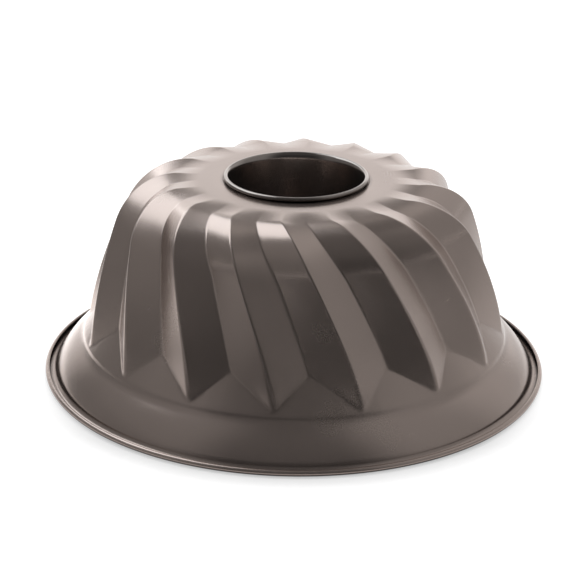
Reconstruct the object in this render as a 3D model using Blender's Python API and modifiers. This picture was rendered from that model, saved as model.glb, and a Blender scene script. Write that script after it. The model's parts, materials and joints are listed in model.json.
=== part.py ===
# Fluted tube pan, standing upside down on its rim.
# Two pressed-sheet pieces: the fluted shell, and the centre tube that is rolled over its hole.
# Metres, +Z up. The origin lies on the pan's axis, in the plane that the rim rests on.
import bpy
from math import atan2, cos, hypot, pi, radians, sin, tan

# Shell, overall
RIM_DIAMETER = 0.250
PLATEAU_HEIGHT = 0.0978
SHELL_SHEET = 0.0006

# Rim: a flat flange, then a hollow curl that turns up and back in
FLANGE_REACH = 0.0079
FLANGE_FILLET = 0.0015
CURL_RADIUS = 0.0014
CURL_SWEEP = radians(270)

# Skirt: the plain convex band between the rim and the crease circle
SKIRT_RISE = 0.0183
SKIRT_SPREAD = 0.0121
SKIRT_TOP_LEAN = radians(45)
SKIRT_FOOT_LEAN = radians(2)

# Flutes: folded ridges and valleys that swing round the pan on their way down
FLUTE_COUNT = 16
FLUTE_DEPTH = 0.0079
FLUTE_TWIST = radians(24)
TWIST_POWER = 1.48
FLUTE_START = 0.049
FADE_POWER = 2.0
FADE_LENGTH = 0.060
FIRST_RIDGE = radians(-94.9)
RIDGE_ROUND = 0.03
VALLEY_ROUND = 0.03
RUN_OUT_LEAN = radians(36.3)

# Ridge line, from the plateau over the shoulder to the crease circle
SHOULDER_START = 0.0600
SHOULDER_RADIUS = 0.0305
SHOULDER_SWEEP = radians(68.5)
RIDGE_TOE_LEAN = radians(8.5)

# Centre tube, open at both ends
TUBE_MOUTH_DIAMETER = 0.0657
TUBE_END_DIAMETER = 0.0470
TUBE_SHEET = 0.0005
TUBE_END_CLEARANCE = 0.005
BEAD_RADIUS = 0.00125
BEAD_SWEEP = radians(270)

# Fit of the tube in the shell
SEAT_GAP = 0.0003
COLLAR_DEPTH = 0.0035
COLLAR_FILLET = 0.0008
SEAT_DROP = 0.0003
SEAT_SLOPE = 0.002

# Faceting
FACE_COLUMNS = 1
GATHER_RATE = 2
SHOULDER_ROWS = 6
WALL_ROWS = 4
RUN_OUT_ROWS = 3
SKIRT_ROWS = 3
FILLET_ROWS = 2
CURL_ROWS = 6
TUBE_COLUMNS = 48
TUBE_ROWS = 3
BEAD_ROWS = 6
LINE_SAMPLES = 200
MERGE_DISTANCE = 0.00001
SMOOTH_ANGLE = radians(24)

# Sizes that follow from the ones above
rimRadius = RIM_DIAMETER / 2
curlBend = CURL_RADIUS - SHELL_SHEET
curlCentre = rimRadius - curlBend - SHELL_SHEET / cos(CURL_SWEEP / CURL_ROWS / 2)
footRadius = rimRadius - FLANGE_REACH
footHeight = SHELL_SHEET + FLANGE_FILLET
creaseRadius = footRadius - SKIRT_SPREAD
creaseHeight = footHeight + SKIRT_RISE
mouthRadius = TUBE_MOUTH_DIAMETER / 2
beadRingRadius = mouthRadius + BEAD_RADIUS
seatHeight = PLATEAU_HEIGHT - SEAT_DROP
beadHeight = seatHeight + SEAT_GAP + BEAD_RADIUS
tubeTaper = (mouthRadius - TUBE_END_DIAMETER / 2) / (beadHeight - TUBE_END_CLEARANCE)
tubeSheetAcross = TUBE_SHEET * hypot(1, tubeTaper)
collarRadius = mouthRadius - tubeTaper * (beadHeight - seatHeight) + tubeSheetAcross + SEAT_GAP
flutePitch = 2 * pi / FLUTE_COUNT
columnsPerFlute = 2 * (FACE_COLUMNS + 2)


def clearScene():
    for item in list(bpy.data.objects):
        bpy.data.objects.remove(item, do_unlink=True)


def makeMaterial(name, colour, metallic, roughness):
    material = bpy.data.materials.new(name)
    material.use_nodes = True
    shader = material.node_tree.nodes["Principled BSDF"]
    shader.inputs["Base Color"].default_value = (*colour, 1)
    shader.inputs["Metallic"].default_value = metallic
    shader.inputs["Roughness"].default_value = roughness
    material.diffuse_color = (*colour, 1)
    return material


def along(start, end, share):
    return start + (end - start) * share


def arcPoints(centre, radius, start, end, steps):
    # Points on an arc in the (radius, height) plane, angles from outward towards up
    angles = [along(start, end, i / steps) for i in range(steps + 1)]
    return [(centre[0] + radius * cos(a), centre[1] + radius * sin(a)) for a in angles]


def smoothCurve(start, startWay, end, endWay, share):
    # Cubic between two (radius, height) points that leaves and arrives along the ways given
    length = hypot(end[0] - start[0], end[1] - start[1])
    weights = (
        2 * share**3 - 3 * share**2 + 1,
        length * (share**3 - 2 * share**2 + share),
        3 * share**2 - 2 * share**3,
        length * (share**3 - share**2),
    )
    corners = (start, startWay, end, endWay)
    return tuple(sum(weight * corner[axis] for weight, corner in zip(weights, corners)) for axis in (0, 1))


def shoulderLine():
    # The ridge from the plateau's edge round the shoulder
    centre = (SHOULDER_START, PLATEAU_HEIGHT - SHOULDER_RADIUS)
    return arcPoints(centre, SHOULDER_RADIUS, pi / 2, pi / 2 - SHOULDER_SWEEP, SHOULDER_ROWS)


def wallLine():
    # The ridge below the shoulder, as a fine line down to its toe on the crease circle
    shoulderWay = (cos(SHOULDER_SWEEP), -sin(SHOULDER_SWEEP))
    toeWay = (sin(RIDGE_TOE_LEAN), -cos(RIDGE_TOE_LEAN))
    toe = (creaseRadius, creaseHeight)
    top = shoulderLine()[-1]
    return [smoothCurve(top, shoulderWay, toe, toeWay, i / LINE_SAMPLES) for i in range(LINE_SAMPLES + 1)]


def outwardAt(line, i):
    before = line[max(i - 1, 0)]
    after = line[min(i + 1, len(line) - 1)]
    length = hypot(after[0] - before[0], after[1] - before[1])
    return ((before[1] - after[1]) / length, (after[0] - before[0]) / length)


def runOutShare(point, outward):
    # Share of the flute depth at which the fold meets the cone that the valleys run out on
    clear = point[0] - creaseRadius + (point[1] - creaseHeight) * tan(RUN_OUT_LEAN)
    return clear / FLUTE_DEPTH / (outward[0] + outward[1] * tan(RUN_OUT_LEAN))


def fluteDepth(length):
    # Share of the full depth at a length along the ridge from the plateau's edge
    reach = (SHOULDER_START - FLUTE_START + length) / FADE_LENGTH
    return sin(pi / 2 * min(1.0, reach)) ** FADE_POWER


def plainRow(point, spacing=0.0):
    return {"point": point, "outward": (0, 0), "depth": 0.0, "limit": 0.0, "spacing": spacing}


def plateauRows():
    # From the collar's lower lip, over its fillet and the sunk seat under the bead, up to the plateau
    filletCentre = (collarRadius + COLLAR_FILLET, seatHeight - COLLAR_FILLET)
    seatEdge = beadRingRadius + BEAD_RADIUS
    points = [(collarRadius, PLATEAU_HEIGHT - COLLAR_DEPTH)]
    points += arcPoints(filletCentre, COLLAR_FILLET, pi, pi / 2, FILLET_ROWS)
    points.append((seatEdge, seatHeight))
    points.append((seatEdge + SEAT_SLOPE, PLATEAU_HEIGHT))
    return [plainRow(point) for point in points]


def flutedRows():
    # The flutes start on the plateau, deepen over the shoulder and the wall, and run out at its foot
    rows = [plainRow((FLUTE_START, PLATEAU_HEIGHT))]
    for i, point in enumerate(shoulderLine()):
        lean = SHOULDER_SWEEP * i / SHOULDER_ROWS
        depth = fluteDepth(SHOULDER_RADIUS * lean)
        rows.append({"point": point, "outward": (sin(lean), cos(lean)), "depth": depth,
                     "limit": 1.0, "spacing": min(1.0, GATHER_RATE * depth)})
    wall = wallLine()
    shoulderEnd = SHOULDER_RADIUS * SHOULDER_SWEEP
    limits = [runOutShare(wall[i], outwardAt(wall, i)) for i in range(len(wall))]
    valleyEnd = next(i for i in range(1, len(wall)) if limits[i] < 1 - VALLEY_ROUND)
    picks = [round(valleyEnd * i / WALL_ROWS) for i in range(1, WALL_ROWS + 1)]
    picks += [round(along(valleyEnd, LINE_SAMPLES, i / RUN_OUT_ROWS)) for i in range(1, RUN_OUT_ROWS + 1)]
    for i in picks:
        drop = hypot(wall[i][0] - wall[0][0], wall[i][1] - wall[0][1])
        rows.append({"point": wall[i], "outward": outwardAt(wall, i), "depth": fluteDepth(shoulderEnd + drop),
                     "limit": max(limits[i], 0.0), "spacing": 1.0})
    return rows


def skirtRows():
    # A convex curve that flares out below the crease and ends at a nearly upright foot
    crease = (creaseRadius, creaseHeight)
    foot = (footRadius, footHeight)
    creaseWay = (sin(SKIRT_TOP_LEAN), -cos(SKIRT_TOP_LEAN))
    footWay = (sin(SKIRT_FOOT_LEAN), -cos(SKIRT_FOOT_LEAN))
    rows = []
    for i in range(1, SKIRT_ROWS + 1):
        share = i / SKIRT_ROWS
        rows.append(plainRow(smoothCurve(crease, creaseWay, foot, footWay, share), 1 - share))
    return rows


def rimRows():
    # Fillet into the flange, the flat flange, and the curl
    filletCentre = (footRadius + FLANGE_FILLET, footHeight)
    points = arcPoints(filletCentre, FLANGE_FILLET, pi, 3 * pi / 2, FILLET_ROWS)[1:]
    points += arcPoints((curlCentre, CURL_RADIUS), curlBend, -pi / 2, CURL_SWEEP - pi / 2, CURL_ROWS)
    return [plainRow(point) for point in points]


def addTwist(rows):
    # The ridges turn most near the plateau and run nearly straight down at their toes
    toe = max(i for i, row in enumerate(rows) if row["depth"] > 0)
    distance = [0.0] * len(rows)
    for i in range(toe - 1, -1, -1):
        upper = rows[i]["point"]
        lower = rows[i + 1]["point"]
        step = hypot(upper[0] - lower[0], upper[1] - lower[1]) if rows[i + 1]["depth"] > 0 else 0.0
        distance[i] = distance[i + 1] + step
    for row, length in zip(rows, distance):
        row["twist"] = -FLUTE_TWIST * (length / distance[0]) ** TWIST_POWER


def roundedFold(place):
    # Depth share across one flute: 0 on the ridge, 1 in the valley, both softly rounded
    fromRidge = min(place % 1, 1 - place % 1)
    if fromRidge < RIDGE_ROUND:
        return fromRidge**2 / RIDGE_ROUND + RIDGE_ROUND
    if fromRidge > 0.5 - VALLEY_ROUND:
        fromValley = 0.5 - fromRidge
        return 1 - VALLEY_ROUND - fromValley**2 / VALLEY_ROUND
    return 2 * fromRidge


def columnPlaces(row):
    # Places across one flute: evenly spread on plain rows, gathered at the folds on fluted ones
    even = [i / columnsPerFlute for i in range(columnsPerFlute)]
    faceEnd = max(min(0.5 - VALLEY_ROUND, row["limit"] / 2), even[FACE_COLUMNS])
    face = [along(RIDGE_ROUND, faceEnd, i / FACE_COLUMNS) for i in range(FACE_COLUMNS + 1)]
    folded = [0, *face, 0.5] + [1 - place for place in reversed(face)]
    return [along(a, b, row["spacing"]) for a, b in zip(even, folded)]


def shellPoint(row, column):
    flute, fold = divmod(column, columnsPerFlute)
    place = columnPlaces(row)[fold]
    depth = FLUTE_DEPTH * row["depth"] * min(roundedFold(place), row["limit"])
    radius = row["point"][0] - depth * row["outward"][0]
    height = row["point"][1] - depth * row["outward"][1]
    angle = FIRST_RIDGE + (flute + place) * flutePitch + row["twist"]
    return (radius * cos(angle), radius * sin(angle), height)


def makeProfile(name, points):
    mesh = bpy.data.meshes.new(name)
    edges = [(i, i + 1) for i in range(len(points) - 1)]
    mesh.from_pydata([(radius, 0, height) for radius, height in points], edges, [])
    return bpy.data.objects.new(name, mesh)


def addScrew(item, columns):
    screw = item.modifiers.new("Turn", "SCREW")
    screw.axis = "Z"
    screw.angle = 2 * pi
    screw.steps = columns
    screw.render_steps = columns
    screw.use_merge_vertices = True
    screw.merge_threshold = MERGE_DISTANCE


def addSheet(item, thickness):
    sheet = item.modifiers.new("Sheet", "SOLIDIFY")
    sheet.thickness = thickness
    sheet.offset = -1
    sheet.use_even_offset = True
    sheet.use_quality_normals = True


def applyModifiers(item):
    graph = bpy.context.evaluated_depsgraph_get()
    mesh = bpy.data.meshes.new_from_object(item.evaluated_get(graph))
    item.modifiers.clear()
    item.data = mesh


def makeShell(collection):
    # A plain sleeve with one ring of points for each row; each ring then takes its own shape
    rows = plateauRows() + flutedRows() + skirtRows() + rimRows()
    addTwist(rows)
    columns = FLUTE_COUNT * columnsPerFlute
    shell = makeProfile("fluted_shell", [(1, -i) for i in range(len(rows))])
    collection.objects.link(shell)
    addScrew(shell, columns)
    applyModifiers(shell)
    for vertex in shell.data.vertices:
        turn = atan2(vertex.co.y, vertex.co.x) / (2 * pi)
        column = round(turn * columns) % columns
        vertex.co = shellPoint(rows[round(-vertex.co.z)], column)
    addSheet(shell, SHELL_SHEET)
    return shell


def makeTube(collection):
    # Up the bore, over the top of the bead and round to its tucked edge
    points = []
    for i in range(TUBE_ROWS):
        share = i / TUBE_ROWS
        radius = along(TUBE_END_DIAMETER / 2, mouthRadius, share)
        points.append((radius, along(TUBE_END_CLEARANCE, beadHeight, share)))
    points += arcPoints((beadRingRadius, beadHeight), BEAD_RADIUS, pi, pi - BEAD_SWEEP, BEAD_ROWS)
    tube = makeProfile("centre_tube", points)
    collection.objects.link(tube)
    addScrew(tube, TUBE_COLUMNS)
    addSheet(tube, TUBE_SHEET)
    return tube


def finish(item, material):
    item.data.materials.append(material)
    applyModifiers(item)
    item.data.shade_smooth()
    item.data.set_sharp_from_angle(angle=SMOOTH_ANGLE)


def main():
    clearScene()
    collection = bpy.data.collections.new("fluted_tube_pan")
    bpy.context.scene.collection.children.link(collection)
    shellCoating = makeMaterial("shell_coating", (0.48, 0.40, 0.35), 0.9, 0.26)
    tubeCoating = makeMaterial("tube_coating", (0.45, 0.375, 0.33), 0.9, 0.24)
    finish(makeShell(collection), shellCoating)
    finish(makeTube(collection), tubeCoating)


main()
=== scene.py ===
import json
import math

import bpy
from mathutils import Matrix, Vector

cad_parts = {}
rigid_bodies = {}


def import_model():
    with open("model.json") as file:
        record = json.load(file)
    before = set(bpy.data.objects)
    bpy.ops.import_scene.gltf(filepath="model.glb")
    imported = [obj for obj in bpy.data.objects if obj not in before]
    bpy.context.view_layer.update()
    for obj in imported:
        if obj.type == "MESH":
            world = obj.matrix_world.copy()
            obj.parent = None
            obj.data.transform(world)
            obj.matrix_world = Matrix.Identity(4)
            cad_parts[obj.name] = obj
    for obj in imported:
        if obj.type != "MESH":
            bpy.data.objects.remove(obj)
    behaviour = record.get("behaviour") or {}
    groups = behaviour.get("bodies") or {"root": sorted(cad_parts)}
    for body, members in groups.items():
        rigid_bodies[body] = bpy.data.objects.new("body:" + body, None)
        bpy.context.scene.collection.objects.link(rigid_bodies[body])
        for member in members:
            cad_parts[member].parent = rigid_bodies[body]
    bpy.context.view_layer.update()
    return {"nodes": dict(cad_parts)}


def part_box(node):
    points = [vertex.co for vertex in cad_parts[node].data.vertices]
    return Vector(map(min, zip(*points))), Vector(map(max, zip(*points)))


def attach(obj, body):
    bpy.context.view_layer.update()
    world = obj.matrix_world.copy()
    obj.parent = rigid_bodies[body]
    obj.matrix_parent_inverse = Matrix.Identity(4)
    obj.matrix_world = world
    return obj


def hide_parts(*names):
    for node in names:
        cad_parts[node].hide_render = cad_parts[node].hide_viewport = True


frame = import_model()
shellLow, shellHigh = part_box("fluted_shell")
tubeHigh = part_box("centre_tube")[1]
print("frame loaded:", ", ".join(sorted(frame["nodes"])))


def deselectAll():
    for item in bpy.context.view_layer.objects:
        item.select_set(False)


def makeActive(item):
    deselectAll()
    item.select_set(True)
    bpy.context.view_layer.objects.active = item


def applyModifiers(item):
    makeActive(item)
    for modifier in list(item.modifiers):
        bpy.ops.object.modifier_apply(modifier=modifier.name)


def faceOutwards(item):
    # an open sheet can turn inside out as a whole, so its highest face says which way is out
    highest = max(item.data.polygons, key=lambda face: face.center.z)
    if highest.normal.z < 0:
        item.data.flip_normals()


def mix(start, end, share):
    return start + (end - start) * share


def arcPoints(centre, radius, start, end, steps):
    angles = [mix(start, end, i / steps) for i in range(steps + 1)]  # from outward towards up
    return [(centre[0] + radius * math.cos(a), centre[1] + radius * math.sin(a)) for a in angles]


def smoothCurve(start, startWay, end, endWay, share):
    length = math.hypot(end[0] - start[0], end[1] - start[1])  # cubic that leaves and arrives along the ways
    weights = (
        2 * share**3 - 3 * share**2 + 1,
        length * (share**3 - 2 * share**2 + share),
        3 * share**2 - 2 * share**3,
        length * (share**3 - share**2),
    )
    corners = (start, startWay, end, endWay)
    return tuple(sum(weight * corner[axis] for weight, corner in zip(weights, corners)) for axis in (0, 1))


# camera, at the photo's viewing point

cameraSetup = {
    "lens": 117.93,
    "sensor": 36.0,
    "clipStart": 0.01,
    "place": (0.0, -0.87713, 0.40154),
    "pitch": 0.39192,  # radians below the horizon
    "yaw": -0.0027,
    "roll": 0.01265,
}


def addCamera(setup):
    lensData = bpy.data.cameras.new("photoCamera")
    lensData.lens = setup["lens"]
    lensData.sensor_width = setup["sensor"]
    lensData.clip_start = setup["clipStart"]
    camera = bpy.data.objects.new("photoCamera", lensData)
    bpy.context.scene.collection.objects.link(camera)
    turn = (
        Matrix.Rotation(-setup["yaw"], 4, "Z")
        @ Matrix.Rotation(math.pi / 2 - setup["pitch"], 4, "X")
        @ Matrix.Rotation(setup["roll"], 4, "Z")
    )
    camera.matrix_world = Matrix.Translation(setup["place"]) @ turn
    bpy.context.scene.camera = camera


addCamera(cameraSetup)
print("camera set")


# fluted shell

shell = {
    "sheet": 0.0006,
    "clearance": 0.000002,  # over the plane that the rim rests on
    "flangeReach": 0.0062,
    "flangeFillet": 0.0026,
    "curlRadius": 0.0014,
    "curlSweep": math.radians(212),
    "skirtRise": 0.0172,
    "skirtSpread": 0.0138,
    "ledgeReach": 0.0031,  # the skirt starts with a steeper step under the tips
    "ledgeLean": math.radians(24),
    "ledgeShares": (0.2, 0.5, 0.8),  # where its rows lie
    "skirtTopLean": math.radians(50),
    "skirtFootLean": math.radians(28),
    "flutes": 16,
    "fluteDepth": 0.0079,
    "fluteTwist": math.radians(24),
    "twistPower": 1.48,
    "fluteStart": 0.0465,
    "fadePower": 1.75,
    "fadeLength": 0.052,  # along the ridge from the flutes' start until they are full
    "firstRidge": math.radians(-94.9),
    "ridgeRound": 0.028,  # half width of the ridge's rounding, in shares of one flute
    "tipRound": 0.058,
    "valleyRound": 0.026,
    "foldRound": 0.0005,  # where the faces meet the run-out
    "foldFade": 0.006,  # how far over the toe that rounding is full
    "foldStart": 0.18,  # where the columns at the fold may begin, and how wide they stay
    "foldWidth": 0.06,
    "runOutLean": math.radians(36.3),
    "shoulderStart": 0.0600,
    "shoulderRadius": 0.0305,
    "shoulderSweep": math.radians(68.5),
    "toeLean": math.radians(8.5),
    "collarRadius": 0.0335,
    "collarDepth": 0.0035,
    "collarFillet": 0.0008,
    "seatEdge": 0.0356,
    "seatDrop": 0.0003,
    "seatSlope": 0.0004,
    "hookRows": 10,
    "shoulderRows": 20,
    "wallRows": 14,
    "runOutRows": 14,
    "skirtRows": 15,
    "curlRows": 15,
    "lineSteps": (80, 240, 400),  # of the fine ridge line, on the plateau, the shoulder and the wall
    "ridgeColumns": 3,
    "faceColumns": 4,
    "foldColumns": 4,
    "middleColumns": 2,
}
shell["rimRadius"] = (shellHigh.x - shellLow.x) / 2 - 0.00001
shell["plateau"] = shellHigh.z
shell["footRadius"] = shell["rimRadius"] - shell["flangeReach"]
shell["footHeight"] = shell["clearance"] + shell["sheet"] + shell["flangeFillet"]
shell["creaseRadius"] = shell["footRadius"] - shell["skirtSpread"]
shell["creaseHeight"] = shell["footHeight"] + shell["skirtRise"]
shell["seatHeight"] = shell["plateau"] - shell["seatDrop"]
columnNames = ("ridgeColumns", "faceColumns", "foldColumns", "middleColumns")
columnsPerFlute = 2 * sum(shell[name] for name in columnNames)
flutePitch = 2 * math.pi / shell["flutes"]


def plainRow(point, even=1.0, twist=0.0):
    return {
        "point": point,
        "outward": (0, 0),
        "depth": 0.0,
        "fold": 0.0,
        "wall": 0.0,
        "even": even,
        "twist": twist,
    }


def plateauRows():
    fillet = (shell["collarRadius"] + shell["collarFillet"], shell["seatHeight"] - shell["collarFillet"])
    points = [(shell["collarRadius"], shell["plateau"] - shell["collarDepth"])]
    points += arcPoints(fillet, shell["collarFillet"], math.pi, math.pi / 2, 4)
    points.append((shell["seatEdge"], shell["seatHeight"]))
    middle = mix(shell["seatEdge"], shell["seatEdge"] + shell["seatSlope"], 0.5)
    points.append((middle, shell["plateau"] - shell["seatDrop"] / 2))
    points.append((shell["seatEdge"] + shell["seatSlope"], shell["plateau"]))
    return [plainRow(point, twist=-shell["fluteTwist"]) for point in points]


def ridgeLine():
    # the ridge from the flutes' start on the plateau down to its toe on the crease circle, as a fine line
    flatSteps, shoulderSteps, wallSteps = shell["lineSteps"]
    flat = [
        (mix(shell["fluteStart"], shell["shoulderStart"], i / flatSteps), shell["plateau"])
        for i in range(flatSteps)
    ]
    centre = (shell["shoulderStart"], shell["plateau"] - shell["shoulderRadius"])
    sweep = shell["shoulderSweep"]
    shoulder = arcPoints(centre, shell["shoulderRadius"], math.pi / 2, math.pi / 2 - sweep, shoulderSteps)
    top = shoulder[-1]
    toe = (shell["creaseRadius"], shell["creaseHeight"])
    topWay = (math.cos(sweep), -math.sin(sweep))
    toeWay = (math.sin(shell["toeLean"]), -math.cos(shell["toeLean"]))
    wall = [smoothCurve(top, topWay, toe, toeWay, i / wallSteps) for i in range(1, wallSteps + 1)]
    return flat + shoulder + wall, len(flat), len(flat) + len(shoulder) - 1


def outwardAt(line, i):
    before = line[max(i - 1, 0)]
    after = line[min(i + 1, len(line) - 1)]
    length = math.hypot(after[0] - before[0], after[1] - before[1])
    return ((before[1] - after[1]) / length, (after[0] - before[0]) / length)


def coneClearance(point):
    return point[0] - shell["creaseRadius"] + (point[1] - shell["creaseHeight"]) * math.tan(shell["runOutLean"])


def flutedRows():
    line, flatEnd, shoulderEnd = ridgeLine()
    lengths = [0.0]
    for before, after in zip(line, line[1:]):
        lengths.append(lengths[-1] + math.hypot(after[0] - before[0], after[1] - before[1]))
    outwards = [outwardAt(line, i) for i in range(len(line))]
    depths = [
        math.sin(math.pi / 2 * min(1.0, length / shell["fadeLength"])) ** shell["fadePower"]
        for length in lengths
    ]
    turning = lengths[-1] - lengths[flatEnd]
    lean = math.tan(shell["runOutLean"])
    folds = [
        coneClearance(point) / shell["fluteDepth"] / max(out[0] + out[1] * lean, 0.2)
        for point, out in zip(line, outwards)
    ]
    valleyEnd = next(i for i in range(shoulderEnd, len(line)) if folds[i] < 1)
    toe = len(line) - 1
    picks = [round(flatEnd * i / shell["hookRows"]) for i in range(shell["hookRows"])]
    picks += [round(mix(flatEnd, shoulderEnd, i / shell["shoulderRows"])) for i in range(shell["shoulderRows"] + 1)]
    picks += [round(mix(shoulderEnd, valleyEnd, i / shell["wallRows"])) for i in range(1, shell["wallRows"] + 1)]
    picks += [round(mix(valleyEnd, toe, i / shell["runOutRows"])) for i in range(1, shell["runOutRows"] + 1)]
    picks = picks[:-1] + [toe - 8, toe]
    rows = []
    for i in picks:
        rows.append({
            "point": line[i],
            "outward": outwards[i],
            "depth": depths[i],
            "fold": max(0.0, min(1.0, folds[i])) if i > shoulderEnd else 1.0,
            "wall": max(0.0, (lengths[i] - lengths[shoulderEnd]) / (lengths[-1] - lengths[shoulderEnd])),
            "even": max(0.0, 1 - 8 * depths[i]),
            "twist": -shell["fluteTwist"] * min(1.0, (lengths[-1] - lengths[i]) / turning) ** shell["twistPower"],
        })
    return rows


def skirtRows():
    lean = shell["ledgeLean"]
    start = (
        shell["creaseRadius"] + shell["ledgeReach"] * math.sin(lean),
        shell["creaseHeight"] - shell["ledgeReach"] * math.cos(lean),
    )
    foot = (shell["footRadius"], shell["footHeight"])
    startWay = (math.sin(shell["skirtTopLean"]), -math.cos(shell["skirtTopLean"]))
    footWay = (math.sin(shell["skirtFootLean"]), -math.cos(shell["skirtFootLean"]))
    ledge = [
        (mix(shell["creaseRadius"], start[0], share), mix(shell["creaseHeight"], start[1], share))
        for share in shell["ledgeShares"]
    ]
    skirt = [
        smoothCurve(start, startWay, foot, footWay, i / shell["skirtRows"])
        for i in range(1, shell["skirtRows"] + 1)
    ]
    points = ledge + skirt
    return [plainRow(point, min(1.0, 3 * i / len(points))) for i, point in enumerate(points)]


def rimRows():
    curlBend = shell["curlRadius"] - shell["sheet"]
    curlCentre = (shell["rimRadius"] - shell["curlRadius"], shell["clearance"] + shell["curlRadius"])
    fillet = (shell["footRadius"] + shell["flangeFillet"], shell["footHeight"])
    points = arcPoints(fillet, shell["flangeFillet"], math.pi, 3 * math.pi / 2, 5)[1:]
    points.append((mix(points[-1][0], curlCentre[0], 0.5), points[-1][1]))
    start = -math.pi / 2
    points += arcPoints(curlCentre, curlBend, start, start + shell["curlSweep"], shell["curlRows"])
    return [plainRow(point) for point in points]


def columnPlaces(row):
    # places across one flute: gathered at the ridge and at the folds, even on the plain rows
    half = columnsPerFlute // 2
    even = [i / columnsPerFlute for i in range(half + 1)]
    ridge = mix(shell["ridgeRound"], shell["tipRound"], row["wall"] ** 2)
    fold = row["fold"] / 2
    start = max(shell["foldStart"], min(fold - shell["valleyRound"], 0.5 - 2 * shell["valleyRound"]))
    end = max(fold + shell["valleyRound"], start + shell["foldWidth"])
    end = min(end, start + (0.5 - start) * 2 / 3)
    places = [0.0]
    for name, stop in zip(columnNames, (ridge, start, end, 0.5)):
        here = places[-1]
        places += [mix(here, stop, i / shell[name]) for i in range(1, shell[name] + 1)]
    places = [mix(place, plain, row["even"]) for place, plain in zip(places, even)]
    return places + [1 - place for place in reversed(places[:-1])]


def turnPoint(radius, height, angle):
    return Vector((radius * math.cos(angle), radius * math.sin(angle), height))


def foldWeights(place, ridgeRound, valleyRound):
    # shares of the valley behind, the valley ahead and the next ridge, for a flute folded flat between them
    if place < ridgeRound:
        share = (place + ridgeRound) / (2 * ridgeRound)
        return 2 * ridgeRound * (1 - share) ** 2, 2 * ridgeRound * share**2, 0.0
    if place > 0.5 - valleyRound:
        share = (0.5 - place + valleyRound) / (2 * valleyRound)
        here = 2 * valleyRound * share**2
        there = 2 * valleyRound * (1 - share) ** 2
        return 0.0, 1 - here - there, there
    return 0.0, 2 * place, 0.0


def shellPoint(row, place):
    mirrored = place > 0.5
    side = 1 - place if mirrored else place
    radius, height = row["point"]
    ridgeAngle = shell["firstRidge"] + row["twist"] + (flutePitch if mirrored else 0)
    angle = shell["firstRidge"] + row["twist"] + place * flutePitch
    if row["depth"] == 0:
        return turnPoint(radius, height, angle)
    way = -1 if mirrored else 1
    ridgeRound = mix(shell["ridgeRound"], shell["tipRound"], row["wall"] ** 2)
    behind, ahead, beyond = foldWeights(side, ridgeRound, shell["valleyRound"])
    sink = shell["fluteDepth"] * row["depth"]
    valleyRadius = radius - sink * row["outward"][0]
    valleyHeight = height - sink * row["outward"][1]
    ridge = turnPoint(radius, height, ridgeAngle)
    valleyAhead = turnPoint(valleyRadius, valleyHeight, ridgeAngle + way * flutePitch / 2)
    valleyBehind = turnPoint(valleyRadius, valleyHeight, ridgeAngle - way * flutePitch / 2)
    nextRidge = turnPoint(radius, height, ridgeAngle + way * flutePitch)
    flat = (
        ridge * (1 - behind - ahead - beyond)
        + valleyBehind * behind
        + valleyAhead * ahead
        + nextRidge * beyond
    )
    share = behind + ahead
    turned = turnPoint(mix(radius, valleyRadius, share), mix(height, valleyHeight, share), angle)
    point = turned.lerp(flat, row["depth"])
    if row["wall"] == 0:
        return point
    # the faces stop at the cone that the valleys run out on
    reach = math.hypot(point.x, point.y)
    clear = coneClearance((reach, point.z))
    soft = shell["foldRound"] * min(1.0, max(0.0, height - shell["creaseHeight"]) / shell["foldFade"]) + 1e-9
    push = (soft - clear) ** 2 / (4 * soft) if abs(clear) < soft else max(0.0, -clear)
    push /= row["outward"][0] + row["outward"][1] * math.tan(shell["runOutLean"])
    across = push * row["outward"][0] / reach
    return Vector((point.x * (1 + across), point.y * (1 + across), point.z + push * row["outward"][1]))


def makeShell():
    rows = plateauRows() + flutedRows() + skirtRows() + rimRows()
    bpy.ops.mesh.primitive_grid_add(x_subdivisions=columnsPerFlute, y_subdivisions=len(rows) - 1, size=2)
    flute = bpy.context.object
    flute.name = flute.data.name = "coatedShell"
    for vertex in flute.data.vertices:
        column = round((vertex.co.x + 1) / 2 * columnsPerFlute)
        row = rows[round((1 - vertex.co.y) / 2 * (len(rows) - 1))]
        vertex.co = shellPoint(row, columnPlaces(row)[column])
    # the same flute sixteen times round the axis, joined into one sheet
    makeActive(flute)
    bpy.ops.object.mode_set(mode="EDIT")
    bpy.ops.mesh.select_all(action="SELECT")
    copies = shell["flutes"] - 1
    bpy.ops.mesh.spin(steps=copies, dupli=True, angle=flutePitch * copies, center=(0, 0, 0), axis=(0, 0, 1))
    bpy.ops.mesh.select_all(action="SELECT")
    bpy.ops.mesh.remove_doubles(threshold=0.000002)
    bpy.ops.mesh.normals_make_consistent(inside=False)
    bpy.ops.object.mode_set(mode="OBJECT")
    faceOutwards(flute)
    sheet = flute.modifiers.new("sheet", "SOLIDIFY")
    sheet.thickness = shell["sheet"]
    sheet.offset = -1
    sheet.use_even_offset = True
    sheet.use_quality_normals = True
    makeActive(flute)
    bpy.ops.object.shade_smooth()
    keepFlat = flute.modifiers.new("keepFlat", "WEIGHTED_NORMAL")  # the large flat faces stay flat up to their edges
    keepFlat.weight = 60
    applyModifiers(flute)
    return flute


shellPiece = makeShell()
print("shell made:", len(shellPiece.data.polygons), "faces")


# centre tube

tube = {
    "endRadius": 0.0235,
    "sheet": 0.0005,
    "endClearance": 0.005,
    "beadOuter": 0.0354,
    "beadRadius": 0.00105,
    "beadStart": math.radians(150),
    "beadSweep": math.radians(235),
    "flareRadius": 0.0326,
    "flareDepth": 0.0035,
    "flareRows": 8,
    "rows": 12,
    "beadRows": 18,
    "columns": 128,
}


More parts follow.
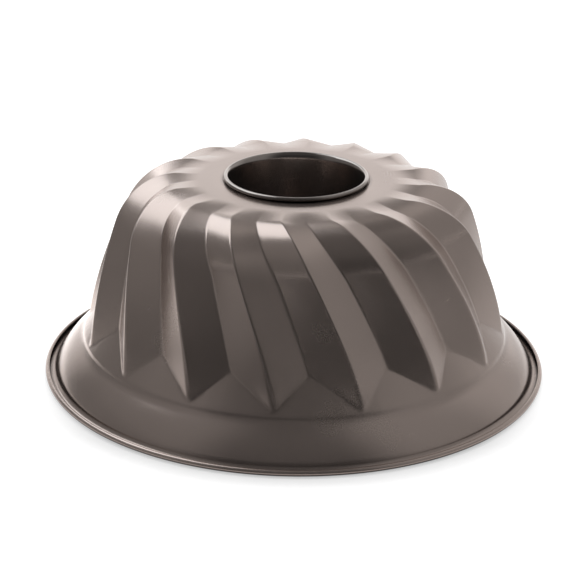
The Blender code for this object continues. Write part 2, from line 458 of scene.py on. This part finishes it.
def makeTube():
    beadCentre = (tube["beadOuter"] - tube["beadRadius"], tubeHigh.z - tube["beadRadius"] - 0.00001)
    low = (tube["endRadius"], tube["endClearance"])
    flare = (tube["flareRadius"], tubeHigh.z - tube["flareDepth"])
    start = tube["beadStart"]
    bead = arcPoints(beadCentre, tube["beadRadius"], start, start - tube["beadSweep"], tube["beadRows"])
    slant = math.atan2(flare[0] - low[0], flare[1] - low[1])
    flareWay = (math.sin(slant), math.cos(slant))
    beadWay = (math.sin(start), -math.cos(start))
    shares = [i / tube["rows"] for i in range(tube["rows"])]
    points = [(mix(low[0], flare[0], share), mix(low[1], flare[1], share)) for share in shares]
    points += [
        smoothCurve(flare, flareWay, bead[0], beadWay, i / tube["flareRows"])
        for i in range(tube["flareRows"])
    ]
    points += bead
    deselectAll()
    radius, height = points[0]
    bpy.ops.mesh.primitive_circle_add(
        vertices=tube["columns"], radius=radius, location=(0, 0, height), fill_type="NOTHING"
    )
    item = bpy.context.object
    item.name = item.data.name = "coatedTube"
    bpy.ops.object.transform_apply(location=True, rotation=True, scale=True)
    bpy.ops.object.mode_set(mode="EDIT")
    bpy.ops.mesh.select_all(action="SELECT")
    for nextRadius, nextHeight in points[1:]:
        scale = nextRadius / radius
        bpy.ops.mesh.extrude_region_move(TRANSFORM_OT_translate={"value": (0, 0, nextHeight - height)})
        bpy.ops.transform.resize(value=(scale, scale, 1), center_override=(0, 0, nextHeight))
        radius, height = nextRadius, nextHeight
    bpy.ops.mesh.select_all(action="SELECT")
    bpy.ops.mesh.normals_make_consistent(inside=False)
    bpy.ops.object.mode_set(mode="OBJECT")
    faceOutwards(item)
    sheet = item.modifiers.new("sheet", "SOLIDIFY")
    sheet.thickness = tube["sheet"]
    sheet.offset = -1
    sheet.use_even_offset = True
    sheet.use_quality_normals = True
    applyModifiers(item)
    bpy.ops.object.shade_smooth()
    return item


tubePiece = makeTube()
print("tube made:", len(tubePiece.data.polygons), "faces")


# coatings

# the reach of each coat's painted shade: short for the shell's gaps, far for the tube, so that its inside is painted
# darker
coats = {
    "shellCoating": {"colour": (0.485, 0.398, 0.358), "roughness": 0.25, "metallic": 0.9, "paintedShadeReach": 0.0026},
    "tubeCoating": {"colour": (0.42, 0.372, 0.345), "roughness": 0.15, "metallic": 0.96, "paintedShadeReach": 0.04},
}
satin = {
    "cloudScale": 26.0,  # soft patches a few centimetres wide
    "cloudDetail": 3.0,
    "cloudShade": (0.96, 1.04),
    "cloudRoughness": 0.025,
    "grainScale": 1500.0,  # the coating's fine grain
    "grainDetail": 2.0,
    "noiseSpan": (0.3, 0.7),  # the part of a noise's values that is used
    "grainDepth": 0.00002,
    "grainStrength": 0.004,
    "grainRoughness": 0.004,
    "paintedCreviceShade": (0.10, 0.60),  # painted shade in narrow gaps, darkest low down in the rim's groove and lighter up at the bead
    "paintedCreviceHeight": (0.02, 0.08),
    "paintedCreviceSpan": (0.58, 0.97),
    "wearStart": 0.515,  # how sharply a ridge has to stick out for its coating to be polished
    "wearFull": 0.60,
    "wearShade": 1.10,
    "wearRoughness": -0.03,
}


def addMath(tree, operation, first, second):
    node = tree.nodes.new("ShaderNodeMath")
    node.operation = operation
    for socket, value in zip(node.inputs, (first, second)):
        if isinstance(value, float):
            socket.default_value = value
        else:
            tree.links.new(value, socket)
    return node.outputs["Value"]


def addRange(tree, value, span, soft=False):
    node = tree.nodes.new("ShaderNodeMapRange")
    if soft:
        node.interpolation_type = "SMOOTHSTEP"
    tree.links.new(value, node.inputs["Value"])
    for name, number in zip(("From Min", "From Max", "To Min", "To Max"), span):
        node.inputs[name].default_value = number
    return node.outputs["Result"]


def addNoise(tree, place, scale, detail):
    node = tree.nodes.new("ShaderNodeTexNoise")
    tree.links.new(place, node.inputs["Vector"])
    node.inputs["Scale"].default_value = scale
    node.inputs["Detail"].default_value = detail
    return node.outputs["Fac"]


def makeSatin():
    group = bpy.data.node_groups.new("satinCoat", "ShaderNodeTree")
    for name, kind in (
        ("Place", "NodeSocketVector"),
        ("Colour", "NodeSocketColor"),
        ("Roughness", "NodeSocketFloat"),
        ("Painted Shade Reach", "NodeSocketFloat"),
    ):
        group.interface.new_socket(name, in_out="INPUT", socket_type=kind)
    for name, kind in (("Colour", "NodeSocketColor"), ("Roughness", "NodeSocketFloat"), ("Normal", "NodeSocketVector")):
        group.interface.new_socket(name, in_out="OUTPUT", socket_type=kind)
    entry = group.nodes.new("NodeGroupInput").outputs
    result = group.nodes.new("NodeGroupOutput").inputs
    cloud = addNoise(group, entry["Place"], satin["cloudScale"], satin["cloudDetail"])
    grain = addNoise(group, entry["Place"], satin["grainScale"], satin["grainDetail"])
    pointed = group.nodes.new("ShaderNodeNewGeometry").outputs["Pointiness"]
    wear = addRange(group, pointed, (satin["wearStart"], satin["wearFull"], 0.0, 1.0))
    shade = addRange(group, cloud, (*satin["noiseSpan"], *satin["cloudShade"]))
    polish = addRange(group, wear, (0.0, 1.0, 1.0, satin["wearShade"]))
    # painted shade: the colour is darkened where the ambient occlusion finds close surfaces, more so low down
    openness = group.nodes.new("ShaderNodeAmbientOcclusion")
    group.links.new(entry["Painted Shade Reach"], openness.inputs["Distance"])
    height = group.nodes.new("ShaderNodeSeparateXYZ")
    group.links.new(entry["Place"], height.inputs["Vector"])
    deepestPaintedShade = addRange(group, height.outputs["Z"], (*satin["paintedCreviceHeight"], *satin["paintedCreviceShade"]))
    clear = addRange(group, openness.outputs["AO"], (*satin["paintedCreviceSpan"], 0.0, 1.0))
    paintedCreviceDarkening = addMath(group, "ADD", clear, addMath(group, "MULTIPLY", addMath(group, "SUBTRACT", 1.0, clear), deepestPaintedShade))
    shade = addMath(group, "MULTIPLY", shade, paintedCreviceDarkening)
    tinted = group.nodes.new("ShaderNodeVectorMath")
    tinted.operation = "SCALE"
    group.links.new(entry["Colour"], tinted.inputs[0])
    group.links.new(addMath(group, "MULTIPLY", shade, polish), tinted.inputs["Scale"])
    group.links.new(tinted.outputs["Vector"], result["Colour"])
    rough = entry["Roughness"]
    for value, spread in ((cloud, satin["cloudRoughness"]), (grain, satin["grainRoughness"])):
        rough = addMath(group, "ADD", rough, addRange(group, value, (*satin["noiseSpan"], -spread, spread)))
    rough = addMath(group, "ADD", rough, addMath(group, "MULTIPLY", wear, satin["wearRoughness"]))
    group.links.new(rough, result["Roughness"])
    bump = group.nodes.new("ShaderNodeBump")
    bump.inputs["Strength"].default_value = satin["grainStrength"]
    bump.inputs["Distance"].default_value = satin["grainDepth"]
    group.links.new(grain, bump.inputs["Height"])
    group.links.new(bump.outputs["Normal"], result["Normal"])
    return group


def makeCoating(name):
    coat = coats[name]
    material = bpy.data.materials.new(name)
    material.use_nodes = True
    tree = material.node_tree
    shader = tree.nodes["Principled BSDF"]
    shader.inputs["Metallic"].default_value = coat["metallic"]
    place = tree.nodes.new("ShaderNodeTexCoord")
    group = tree.nodes.new("ShaderNodeGroup")
    group.node_tree = satinCoat
    group.inputs["Colour"].default_value = (*coat["colour"], 1)
    group.inputs["Roughness"].default_value = coat["roughness"]
    group.inputs["Painted Shade Reach"].default_value = coat["paintedShadeReach"]
    tree.links.new(place.outputs["Object"], group.inputs["Place"])
    tree.links.new(group.outputs["Colour"], shader.inputs["Base Color"])
    tree.links.new(group.outputs["Roughness"], shader.inputs["Roughness"])
    tree.links.new(group.outputs["Normal"], shader.inputs["Normal"])
    return material


satinCoat = makeSatin()
shellPiece.data.materials.append(makeCoating("shellCoating"))
tubePiece.data.materials.append(makeCoating("tubeCoating"))
print("coatings made")


for piece, node, slotName in (
    (shellPiece, "fluted_shell", "shell_coating"),
    (tubePiece, "centre_tube", "tube_coating"),
):
    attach(piece, "root")
    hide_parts(node)


# floor and lights

studio = {
    "floorSize": 12.0,
    "floorColour": (0.80, 0.80, 0.80),
    "floorRoughness": 0.9,
    "floorLift": 0.86,  # what the white sweep adds where the camera or the metal sees it
    "contactReach": 0.034,  # how far the shade round the rim reaches
    "contactPower": 12.0,  # how soon it is full
    "contactDepth": (0.50, 0.10),  # in front of the pan, and at its sides and back
    "contactTurn": (-0.09, 0.0),  # places on Y between which the depth changes
    "underPan": (0.112, 0.119),  # the floor inside the rim lies in the pan's own shade
    "aim": (0.0, 0.0, 0.08),
}

# the plain room that the metal shows: a dark side where the camera stands, pale side walls, a white backdrop
# behind the pan, one window and a pool of light on the floor. Azimuths run from the camera's side towards the
# right, an edge is the angles over which a thing fades out, and levels are low, half way up and overhead.
room = {
    "darkSide": (0.045, 0.085, 0.06),
    "leftWall": (0.20, 0.24, 0.12),
    "rightWall": (0.32, 0.32, 0.15),
    "darkEdge": {"azimuth": 0, "edge": (25, 60), "level": 1.0},
    "backdrop": {"azimuth": 185, "edge": (0, 50), "level": 1.05},
    "window": {"azimuth": 135, "edge": (0, 40), "level": 0.22},
    "floor": (0.05, 1.10),  # at the camera's side, and behind the pan
    "floorTurn": (-0.8, 1.0),
    "pool": {"azimuth": 220, "edge": (15, 60), "level": 1.1},
    "midStart": (21, 27),  # elevations over which one band gives way to the next
    "topStart": (62, 73),
    "farStart": (0.20, 0.50),  # metres from the axis over which the floor takes the level of the horizon
    "rimGlow": 0.65,  # what the white floor adds close to the rim
    "rimReach": (0.130, 0.170),
    "plainLevel": 0.08,  # for the light that falls on things
}

# a card that lies on the floor round the pan and carries the room's tones, where only the metal sees it
surround = {"inner": 0.1265, "outer": 2.5, "lift": 0.0004, "columns": 96}

softbox = {
    "azimuth": -133.4,
    "elevation": 53,
    "distance": 0.45,
    "size": (0.426, 0.434),
    "level": 1.75,
    "colour": (0.93, 1.0, 1.05),
    "turn": (32.4, -33.2, -79),  # its facing, off the line to the pan, and its roll
}
fillLamp = {"place": (0.0, 0.0, 1.5), "size": (3.6, 3.6), "level": 0.80, "colour": (1, 1, 1)}


def makeFloor():
    deselectAll()
    bpy.ops.mesh.primitive_plane_add(size=studio["floorSize"], location=(0, 0, 0))
    floor = bpy.context.object
    floor.name = "studioFloor"
    material = bpy.data.materials.new("paleFloor")
    material.use_nodes = True
    tree = material.node_tree
    nodes, links = tree.nodes, tree.links
    shader = nodes["Principled BSDF"]
    shader.inputs["Roughness"].default_value = studio["floorRoughness"]
    shader.inputs["Specular IOR Level"].default_value = 0.0
    shader.inputs["Emission Color"].default_value = (1, 1, 1, 1)
    place = nodes.new("ShaderNodeTexCoord").outputs["Object"]
    away = nodes.new("ShaderNodeVectorMath")
    away.operation = "LENGTH"
    links.new(place, away.inputs[0])
    side = nodes.new("ShaderNodeSeparateXYZ")
    links.new(place, side.inputs["Vector"])
    nearness = nodes.new("ShaderNodeAmbientOcclusion")
    nearness.inputs["Distance"].default_value = studio["contactReach"]
    # a shade close to the rim, and the pan's own shade inside it
    depth = addRange(tree, side.outputs["Y"], (*studio["contactTurn"], *studio["contactDepth"]))
    clear = addMath(tree, "POWER", nearness.outputs["AO"], studio["contactPower"])
    shade = addMath(tree, "MULTIPLY", addMath(tree, "SUBTRACT", 1.0, clear), depth)
    outside = addRange(tree, away.outputs["Value"], (*studio["underPan"], 0.0, 1.0))
    lightness = addMath(tree, "MULTIPLY", addMath(tree, "SUBTRACT", 1.0, shade), outside)
    colour = nodes.new("ShaderNodeVectorMath")
    colour.operation = "SCALE"
    colour.inputs[0].default_value = studio["floorColour"]
    links.new(lightness, colour.inputs["Scale"])
    links.new(colour.outputs["Vector"], shader.inputs["Base Color"])
    lift = addMath(tree, "MULTIPLY", lightness, studio["floorLift"])
    links.new(addMath(tree, "MULTIPLY", lift, addSeenRays(tree)), shader.inputs["Emission Strength"])
    floor.data.materials.append(material)


def addSeenRays(tree):
    # one for what the camera sees, directly or in metal and glass, and zero for the light that falls on things
    rays = tree.nodes.new("ShaderNodeLightPath").outputs
    mirrored = addMath(tree, "MAXIMUM", rays["Is Glossy Ray"], rays["Is Transmission Ray"])
    return addMath(tree, "MAXIMUM", rays["Is Camera Ray"], mirrored)


def makeSurround():
    deselectAll()
    bpy.ops.mesh.primitive_circle_add(
        vertices=surround["columns"], radius=surround["inner"], location=(0, 0, 0), fill_type="NOTHING"
    )
    card = bpy.context.object
    card.name = "surroundCard"
    widening = surround["outer"] / surround["inner"]
    bpy.ops.object.mode_set(mode="EDIT")
    bpy.ops.mesh.select_all(action="SELECT")
    bpy.ops.mesh.extrude_region_move(TRANSFORM_OT_translate={"value": (0, 0, 0)})
    bpy.ops.transform.resize(value=(widening, widening, 1), center_override=(0, 0, 0))
    bpy.ops.object.mode_set(mode="OBJECT")
    for vertex in card.data.vertices:
        vertex.co.z = surround["lift"]
    material = bpy.data.materials.new("toneCard")
    material.use_nodes = True
    nodes, links = material.node_tree.nodes, material.node_tree.links
    shader = nodes["Principled BSDF"]
    shader.inputs["Base Color"].default_value = (0, 0, 0, 1)
    shader.inputs["Specular IOR Level"].default_value = 0.0
    shader.inputs["Emission Color"].default_value = (1, 1, 1, 1)
    place = nodes.new("ShaderNodeTexCoord")
    tones = nodes.new("ShaderNodeGroup")
    tones.node_tree = roomTones
    links.new(place.outputs["Object"], tones.inputs["Direction"])
    links.new(tones.outputs["Floor"], shader.inputs["Emission Strength"])
    card.data.materials.append(material)
    card.visible_camera = card.visible_diffuse = card.visible_shadow = False


def addFacing(tree, flatWay, azimuth):
    facing = tree.nodes.new("ShaderNodeVectorMath")
    facing.operation = "DOT_PRODUCT"
    facing.inputs[1].default_value = skyWay(azimuth, 0)
    tree.links.new(flatWay, facing.inputs[0])
    return facing.outputs["Value"]


def addGlow(tree, flatWay, glow):
    near, far = (math.cos(math.radians(angle)) for angle in glow["edge"])
    return addRange(tree, addFacing(tree, flatWay, glow["azimuth"]), (far, near, 0.0, glow["level"]), soft=True)


def addBlend(tree, share, first, second):
    blend = tree.nodes.new("ShaderNodeMix")
    for name, value in (("Factor", share), ("A", first), ("B", second)):
        if isinstance(value, float):
            blend.inputs[name].default_value = value
        else:
            tree.links.new(value, blend.inputs[name])
    return blend.outputs["Result"]


def makeRoomTones():
    group = bpy.data.node_groups.new("roomTones", "ShaderNodeTree")
    group.interface.new_socket("Direction", in_out="INPUT", socket_type="NodeSocketVector")
    group.interface.new_socket("Level", in_out="OUTPUT", socket_type="NodeSocketFloat")
    group.interface.new_socket("Floor", in_out="OUTPUT", socket_type="NodeSocketFloat")
    nodes, links = group.nodes, group.links
    way = nodes.new("NodeGroupInput").outputs["Direction"]
    result = nodes.new("NodeGroupOutput")
    flatten = nodes.new("ShaderNodeVectorMath")
    flatten.operation = "MULTIPLY"
    flatten.inputs[1].default_value = (1, 1, 0)
    flat = nodes.new("ShaderNodeVectorMath")
    flat.operation = "NORMALIZE"
    unit = nodes.new("ShaderNodeVectorMath")
    unit.operation = "NORMALIZE"
    height = nodes.new("ShaderNodeSeparateXYZ")
    links.new(way, flatten.inputs[0])
    links.new(flatten.outputs["Vector"], flat.inputs[0])
    links.new(way, unit.inputs[0])
    links.new(unit.outputs["Vector"], height.inputs["Vector"])
    flatWay = flat.outputs["Vector"]
    darkness = addGlow(group, flatWay, room["darkEdge"])
    window = addGlow(group, flatWay, room["window"])
    rightwards = addFacing(group, flatWay, 90)
    bands = []
    for dark, left, right in zip(room["darkSide"], room["leftWall"], room["rightWall"]):
        walls = addRange(group, rightwards, (-1.0, 1.0, left, right))
        bands.append(addBlend(group, darkness, walls, dark))
    low = addMath(group, "ADD", addMath(group, "ADD", bands[0], window), addGlow(group, flatWay, room["backdrop"]))
    middle = addMath(group, "ADD", bands[1], window)
    tone = low
    for band, start in ((middle, "midStart"), (bands[2], "topStart")):
        span = [math.sin(math.radians(angle)) for angle in room[start]]
        tone = addBlend(group, addRange(group, height.outputs["Z"], (*span, 0.0, 1.0), soft=True), tone, band)
    links.new(tone, result.inputs["Level"])
    # the floor is light behind the pan and takes the level of the horizon farther out
    backwards = addFacing(group, flatWay, 180)
    floor = addRange(group, backwards, (*room["floorTurn"], *room["floor"]))
    floor = addMath(group, "ADD", floor, addGlow(group, flatWay, room["pool"]))
    away = nodes.new("ShaderNodeVectorMath")
    away.operation = "LENGTH"
    links.new(way, away.inputs[0])
    far = addRange(group, away.outputs["Value"], (*room["farStart"], 0.0, 1.0))
    glow = addRange(group, away.outputs["Value"], (*room["rimReach"], room["rimGlow"], 0.0))
    links.new(addMath(group, "ADD", addBlend(group, far, floor, low), glow), result.inputs["Floor"])
    return group


def makeWorld():
    world = bpy.data.worlds.new("studioWorld")
    bpy.context.scene.world = world
    world.use_nodes = True
    tree = world.node_tree
    rays = tree.nodes.new("ShaderNodeLightPath").outputs
    place = tree.nodes.new("ShaderNodeTexCoord")
    tones = tree.nodes.new("ShaderNodeGroup")
    tones.node_tree = roomTones
    tree.links.new(place.outputs["Generated"], tones.inputs["Direction"])
    mirrored = addMath(tree, "MAXIMUM", rays["Is Glossy Ray"], rays["Is Transmission Ray"])
    inMetal = addBlend(tree, mirrored, room["plainLevel"], tones.outputs["Level"])
    background = tree.nodes["Background"]
    background.inputs["Color"].default_value = (1, 1, 1, 1)
    tree.links.new(addBlend(tree, rays["Is Camera Ray"], inMetal, 1.0), background.inputs["Strength"])


def skyWay(azimuth, elevation):
    azimuth, elevation = math.radians(azimuth), math.radians(elevation)
    return Vector((
        math.cos(elevation) * math.sin(azimuth),
        -math.cos(elevation) * math.cos(azimuth),
        math.sin(elevation),
    ))


def addSoftbox(name, place, facing, roll, lamp):
    light = bpy.data.lights.new(name, "AREA")
    light.shape = "RECTANGLE"
    light.size, light.size_y = lamp["size"]
    light.color = lamp["colour"]
    light.energy = lamp["level"] * math.pi * light.size * light.size_y  # its face looks as bright as the level
    item = bpy.data.objects.new(name, light)
    bpy.context.scene.collection.objects.link(item)
    side = Vector((0, 0, 1)).cross(facing).normalized() if abs(facing.z) < 0.999 else Vector((1, 0, 0))
    up = facing.cross(side)
    turned = side * math.cos(roll) + up * math.sin(roll)
    axes = Matrix((turned, facing.cross(turned), facing)).transposed().to_4x4()
    item.matrix_world = Matrix.Translation(place) @ axes
    item.visible_camera = False
    return item


def addLamps():
    place = Vector(studio["aim"]) + skyWay(softbox["azimuth"], softbox["elevation"]) * softbox["distance"]
    turn = softbox["turn"]
    facing = skyWay(softbox["azimuth"] + turn[0], softbox["elevation"] + turn[1])
    box = addSoftbox("highSoftbox", place, facing, math.radians(turn[2]), softbox)
    box.visible_diffuse = False
    fill = addSoftbox("overheadFill", fillLamp["place"], Vector((0, 0, 1)), 0.0, fillLamp)
    fill.visible_glossy = False


roomTones = makeRoomTones()
makeFloor()
makeSurround()
makeWorld()
addLamps()
bpy.context.scene.view_settings.view_transform = "Standard"
